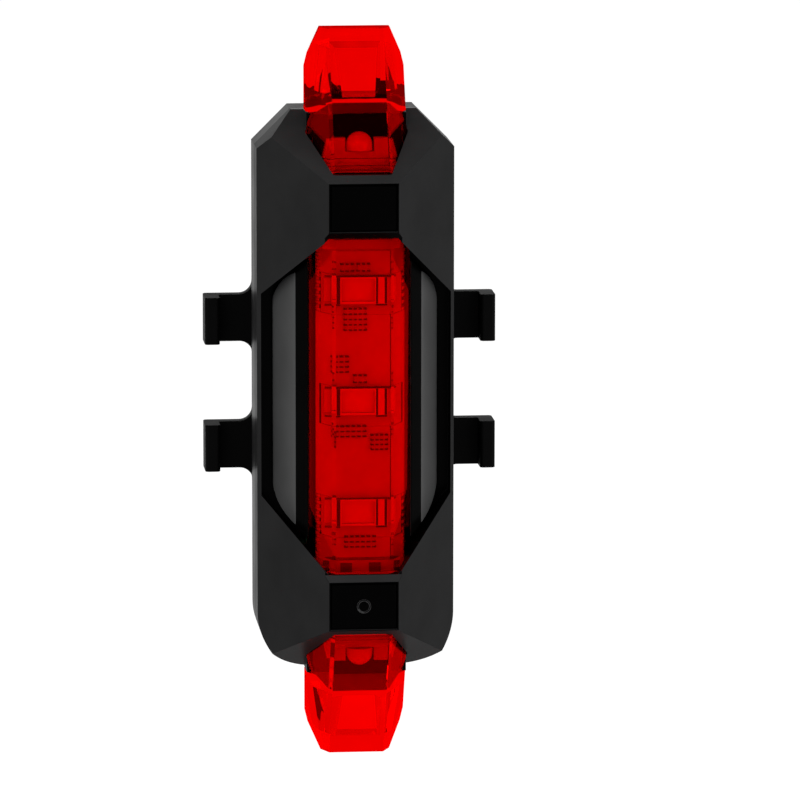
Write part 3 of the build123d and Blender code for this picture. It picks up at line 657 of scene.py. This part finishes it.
def floor_material():
    """Pale matt floor that glows only where it is looked at or mirrored."""
    material, tree = new_material("floor")
    shader = add_node(tree, "ShaderNodeBsdfPrincipled", Roughness=floor_roughness)
    shader.inputs["Base Color"].default_value = (*tone(floor_tone), 1)
    shader.inputs["Specular IOR Level"].default_value = 0.0
    glow = add_node(tree, "ShaderNodeEmission")
    glow.inputs["Color"].default_value = white
    path = add_node(tree, "ShaderNodeLightPath")
    seen = combined(tree, "MAXIMUM", path.outputs["Is Camera Ray"], path.outputs["Is Transmission Ray"])
    shown = combined(tree, "MAXIMUM", seen, path.outputs["Is Glossy Ray"])
    tree.links.new(combined(tree, "MULTIPLY", shown, floor_glow), glow.inputs["Strength"])
    total = add_node(tree, "ShaderNodeAddShader")
    output = add_node(tree, "ShaderNodeOutputMaterial")
    tree.links.new(shader.outputs["BSDF"], total.inputs[0])
    tree.links.new(glow.outputs["Emission"], total.inputs[1])
    tree.links.new(total.outputs["Shader"], output.inputs["Surface"])
    return material


def studio_floor():
    """Wide square floor under the light."""
    level = cad_box[0][2] - floor_gap
    ends = ((-1, -1), (1, -1), (1, 1), (-1, 1))
    corners = [(x * floor_reach, y * floor_reach, level) for x, y in ends]
    mesh = bpy.data.meshes.new("floor")
    mesh.from_pydata(corners, [], [(0, 1, 2, 3)])
    mesh.materials.append(floor_material())
    floor = place(bpy.data.objects.new("floor", mesh))


def area_light(name, position, power):
    """Soft square lamp that faces the light."""
    data = bpy.data.lights.new(name, "AREA")
    data.shape = "SQUARE"
    data.size = lamp_size
    data.energy = power
    lamp = place(bpy.data.objects.new(name, data))
    lamp.location = position
    aim = Vector(lamp_target) - Vector(position)
    lamp.rotation_euler = aim.to_track_quat("-Z", "Y").to_euler()


def camera():
    """Camera at the angle of the photograph."""
    data = bpy.data.cameras.new("camera")
    data.sensor_width = camera_sensor
    data.lens = camera_lens
    data.shift_x, data.shift_y = camera_shift
    data.clip_start, data.clip_end = camera_clip
    eye = place(bpy.data.objects.new("camera", data))
    across = math.cos(camera_elevation)
    away = Vector((
        math.sin(camera_azimuth) * across,
        -math.cos(camera_azimuth) * across,
        math.sin(camera_elevation),
    ))
    target = Vector((0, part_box("front_bezel")[0][1], 0))
    eye.location = target + away * camera_distance
    eye.rotation_euler = (-away).to_track_quat("-Z", "Y").to_euler()
    bpy.context.scene.camera = eye


def dress(materials):
    """Round the moulded pieces, give them their second finishes and their painted shade, reflection and
    highlight, and add the soldered leads and posts, near black as painted shade, with painted shadow lines.
    """
    bezel = softened("front_bezel", shell_edge, materials)
    # Painted shade: the near-black trim goes on the bezel's recess, the lips of its bridges and the ledges
    # behind the noses
    second_finish_or_painted_light(bezel, materials["gloss_trim"], in_painted_shade_area)
    softened("rear_housing", shell_edge, materials)
    for name in ("left_side_bar", "right_side_bar"):
        trim = softened(name, trim_edge, materials)
        # Painted reflection: the lighter grey goes on each bar's outer slope
        second_finish_or_painted_light(trim, materials["bar_painted_reflection"], on_bar_slope)
    softened("strap_bracket", shell_edge, materials)
    lens = softened("lens", lens_edge, materials)
    second_finish_or_painted_light(lens, materials["frosted_red"], on_hollow_end)
    button = softened("power_button", lens_edge, materials)
    # Painted highlight: the grey goes in the groove of the button's ring
    second_finish_or_painted_light(button, materials["ring_painted_highlight"], on_ring)
    painted_shade_leads_and_lines(materials)


def build():
    """Dress the frame and set up the studio."""
    bpy.context.scene.view_settings.view_transform = "Standard"
    materials = all_materials()
    paint(materials)
    dress(materials)
    world()
    studio_floor()
    area_light("key", key_position, key_power)
    area_light("fill", fill_position, fill_power)
    camera()


build()
